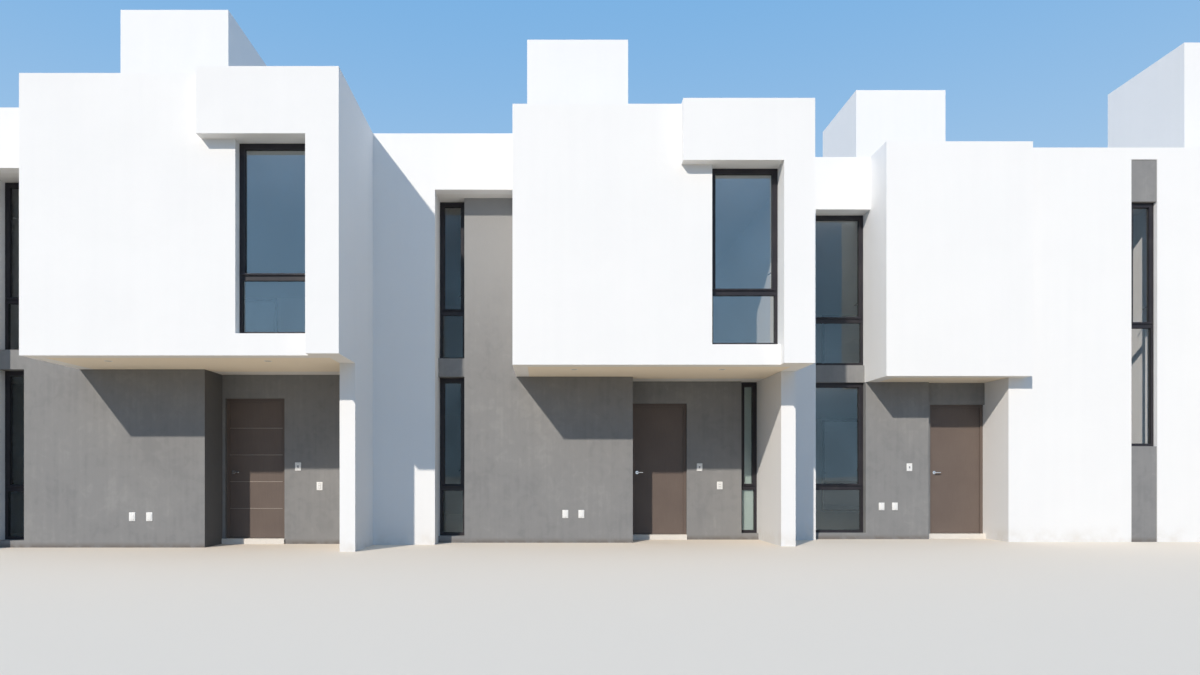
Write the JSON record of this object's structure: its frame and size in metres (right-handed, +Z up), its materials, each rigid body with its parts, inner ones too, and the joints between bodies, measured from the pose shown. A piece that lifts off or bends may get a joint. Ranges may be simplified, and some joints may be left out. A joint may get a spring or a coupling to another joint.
{
  "type": "terraced house row",
  "caption": "Row of modern two-storey terraced houses with cantilevered upper boxes, hooded windows, grey recesses, porches with hinged doors and roof towers.",
  "frame": {"origin": "ground level, in the middle of the row's length and depth", "axes": "+X along the row, left to right seen from the street; +Y from the street to the rear; +Z up"},
  "size_m": [25.01, 11.43, 8.155],
  "materials": {
    "white_stucco": "matt white painted stucco",
    "grey_render": "matt mid-grey trowelled render",
    "concrete": "painted concrete slab",
    "step_stone": "honed pale stone",
    "door_paint": "satin taupe paint",
    "chrome": "polished",
    "dark_aluminium": "satin black powder coat",
    "glass": "blue-grey reflective glass",
    "plate_plastic": "white gloss plastic"
  },
  "bodies": {
    "row": {"ground_floors": "concrete", "party_walls": "white_stucco", "bay_walls": "white_stucco", "bay_returns": "white_stucco", "lintels": "white_stucco", "tall_grey_walls": "grey_render", "low_grey_walls": "grey_render", "grey_bands": "grey_render", "porch_side_walls": "grey_render", "door_side_panels": "grey_render", "door_head_panels": "grey_render", "porch_return": "white_stucco", "plain_wall": "white_stucco", "box_fronts": "white_stucco", "box_left_walls": "white_stucco", "box_right_walls": "white_stucco", "hoods": "white_stucco", "box_floors": "concrete", "upper_floors": "concrete", "front_roofs": "concrete", "roofs": "concrete", "rear_walls": "white_stucco", "tower_walls": "white_stucco", "tower_tops": "white_stucco", "thresholds": "step_stone", "door_frames": "door_paint", "door_hinges": "chrome", "door_d": "door_paint", "handle_d": "chrome", "bay_window_frames": "dark_aluminium", "bay_window_glass": "glass", "slim_window_frames": "dark_aluminium", "slim_window_glass": "glass", "wide_window_frames": "dark_aluminium", "wide_window_glass": "glass", "rear_window_frames": "dark_aluminium", "rear_window_glass": "glass", "casement_sashes": "dark_aluminium", "wall_plates": "plate_plastic"},
    "front_door_a": {"door_a": "door_paint", "handle_a": "chrome"},
    "front_door_b": {"door_b": "door_paint", "handle_b": "chrome"},
    "front_door_c": {"door_c": "door_paint", "handle_c": "chrome"}
  },
  "joints": [
    {"name": "door_a_hinge", "type": "hinge", "parent": "row", "child": "front_door_a", "pos_m": [-7.494, -3.483, 1.12], "axis": [0, 0, -1], "range_deg": [0, 90]},
    {"name": "door_b_hinge", "type": "hinge", "parent": "row", "child": "front_door_b", "pos_m": [-1.294, -2.648, 1.12], "axis": [0, 0, -1], "range_deg": [0, 90]},
    {"name": "door_c_hinge", "type": "hinge", "parent": "row", "child": "front_door_c", "pos_m": [3.611, -2.443, 1.12], "axis": [0, 0, -1], "range_deg": [0, 90]}
  ]
}
